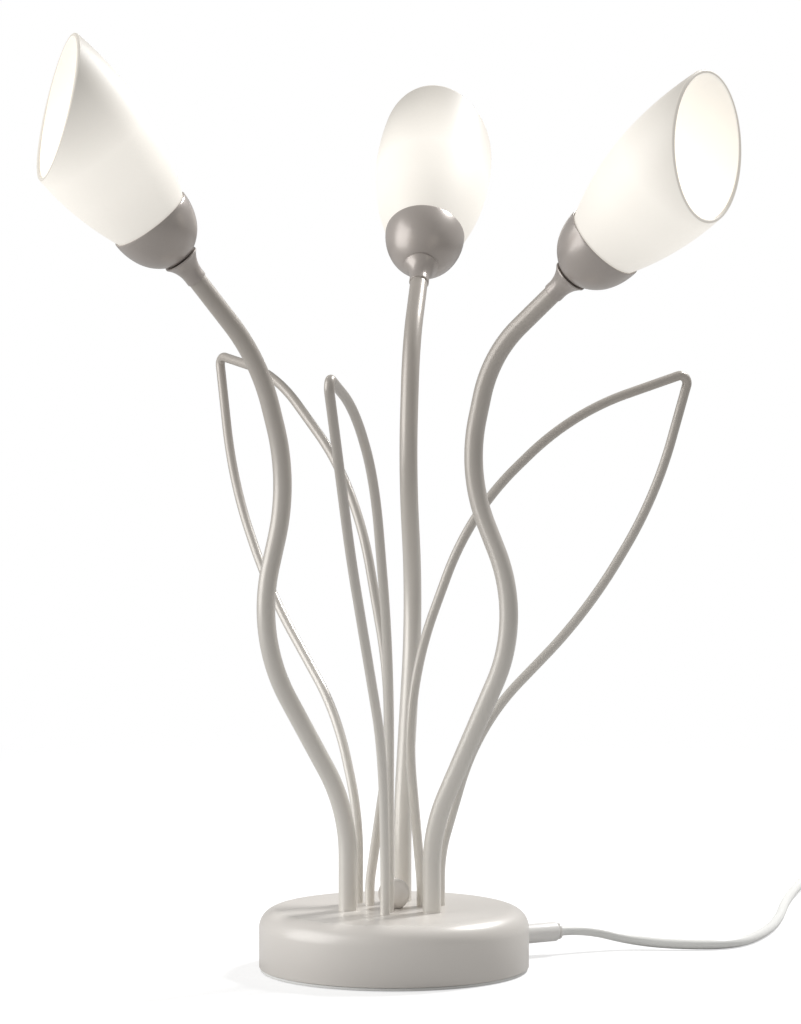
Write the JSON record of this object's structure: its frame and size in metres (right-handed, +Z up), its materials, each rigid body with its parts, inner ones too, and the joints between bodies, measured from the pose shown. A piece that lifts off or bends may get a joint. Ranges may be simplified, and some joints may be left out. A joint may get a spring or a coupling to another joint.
{
  "type": "table lamp",
  "caption": "Table lamp with tulip-shaped opal glass shades on bent tube stems and open leaf outlines of bent rod, on a round weighted base with a mains lead and in-line switch.",
  "frame": {"origin": "centre of the round base's underside, on the surface the lamp stands on", "axes": "+Z up, +X to the right in the picture, +Y away from the camera"},
  "size_m": [0.5503, 0.5976, 0.479],
  "materials": {
    "lacquer": "satin warm grey lacquer",
    "opal_glass": "satin opal",
    "lamp_glass": "frosted",
    "lamp_ceramic": "matt white",
    "zinc_steel": "bright zinc",
    "brass_thread": "plain",
    "casting": "rough",
    "plate_steel": "matt",
    "foam": "matt white foam",
    "grey_plastic": "satin",
    "white_plastic": "smooth",
    "lead_jacket": "smooth soft jacket",
    "black_plastic": "satin",
    "plated_pin": "bright"
  },
  "bodies": {
    "lamp": {"ball_nut": "lacquer", "base_cover": "lacquer", "base_pad": "foam", "base_weight": "casting", "bottom_plate": "plate_steel", "bulb_1": "lamp_glass", "bulb_2": "lamp_glass", "bulb_3": "lamp_glass", "centre_bolt": "zinc_steel", "centre_spacer": "zinc_steel", "clamp_screws": "zinc_steel", "cord_clamp": "white_plastic", "cord_inner_end": "lead_jacket", "cord_tie": "white_plastic", "cup_1": "lacquer", "cup_2": "lacquer", "cup_3": "lacquer", "ferrule_1": "lacquer", "ferrule_2": "lacquer", "ferrule_3": "lacquer", "gland_nut": "zinc_steel", "head_nipples": "brass_thread", "head_nuts": "zinc_steel", "lampholder_1": "lamp_ceramic", "lampholder_2": "lamp_ceramic", "lampholder_3": "lamp_ceramic", "leaf_1": "lacquer", "leaf_2": "lacquer", "leaf_3": "lacquer", "leaf_nuts": "zinc_steel", "mains_cord": "lead_jacket", "mains_cord_coil": "lead_jacket", "mains_cord_link": "lead_jacket", "mains_cord_tail": "lead_jacket", "plate_screws": "zinc_steel", "plug_body": "white_plastic", "plug_pins": "plated_pin", "plug_sleeves": "black_plastic", "shade_ring_1": "white_plastic", "shade_ring_2": "white_plastic", "shade_ring_3": "white_plastic", "stem_1": "lacquer", "stem_2": "lacquer", "stem_3": "lacquer", "stem_foot_nipples": "brass_thread", "stem_foot_nuts": "zinc_steel", "stem_foot_washers": "zinc_steel", "stem_lead_1": "lead_jacket", "stem_lead_2": "lead_jacket", "stem_lead_3": "lead_jacket", "strain_relief": "grey_plastic", "switch_lower": "white_plastic", "switch_screws": "zinc_steel", "switch_upper": "white_plastic", "terminal_block": "white_plastic", "terminal_screws": "zinc_steel"},
    "glass_1": {"shade_1": "opal_glass"},
    "glass_2": {"shade_2": "opal_glass"},
    "glass_3": {"shade_3": "opal_glass"},
    "rocker": {"switch_rocker": "white_plastic"}
  },
  "joints": [
    {"name": "shade_turn_1", "type": "hinge", "parent": "lamp", "child": "glass_1", "pos_m": [-0.12206, -0.05552, 0.38716], "axis": [-0.5802, -0.2767, 0.766], "continuous": true},
    {"name": "shade_turn_2", "type": "hinge", "parent": "lamp", "child": "glass_2", "pos_m": [0.01673, 0.12988, 0.38217], "axis": [0.0874, 0.7438, 0.6626], "continuous": true},
    {"name": "shade_turn_3", "type": "hinge", "parent": "lamp", "child": "glass_3", "pos_m": [0.10523, -0.06992, 0.37565], "axis": [0.6449, -0.403, 0.6495], "continuous": true},
    {"name": "rocker_tip", "type": "hinge", "parent": "lamp", "child": "rocker", "pos_m": [0.2741, 0.36009, 0.0124], "axis": [-0.893, 0.45, 0], "range_deg": [0, 16]}
  ]
}
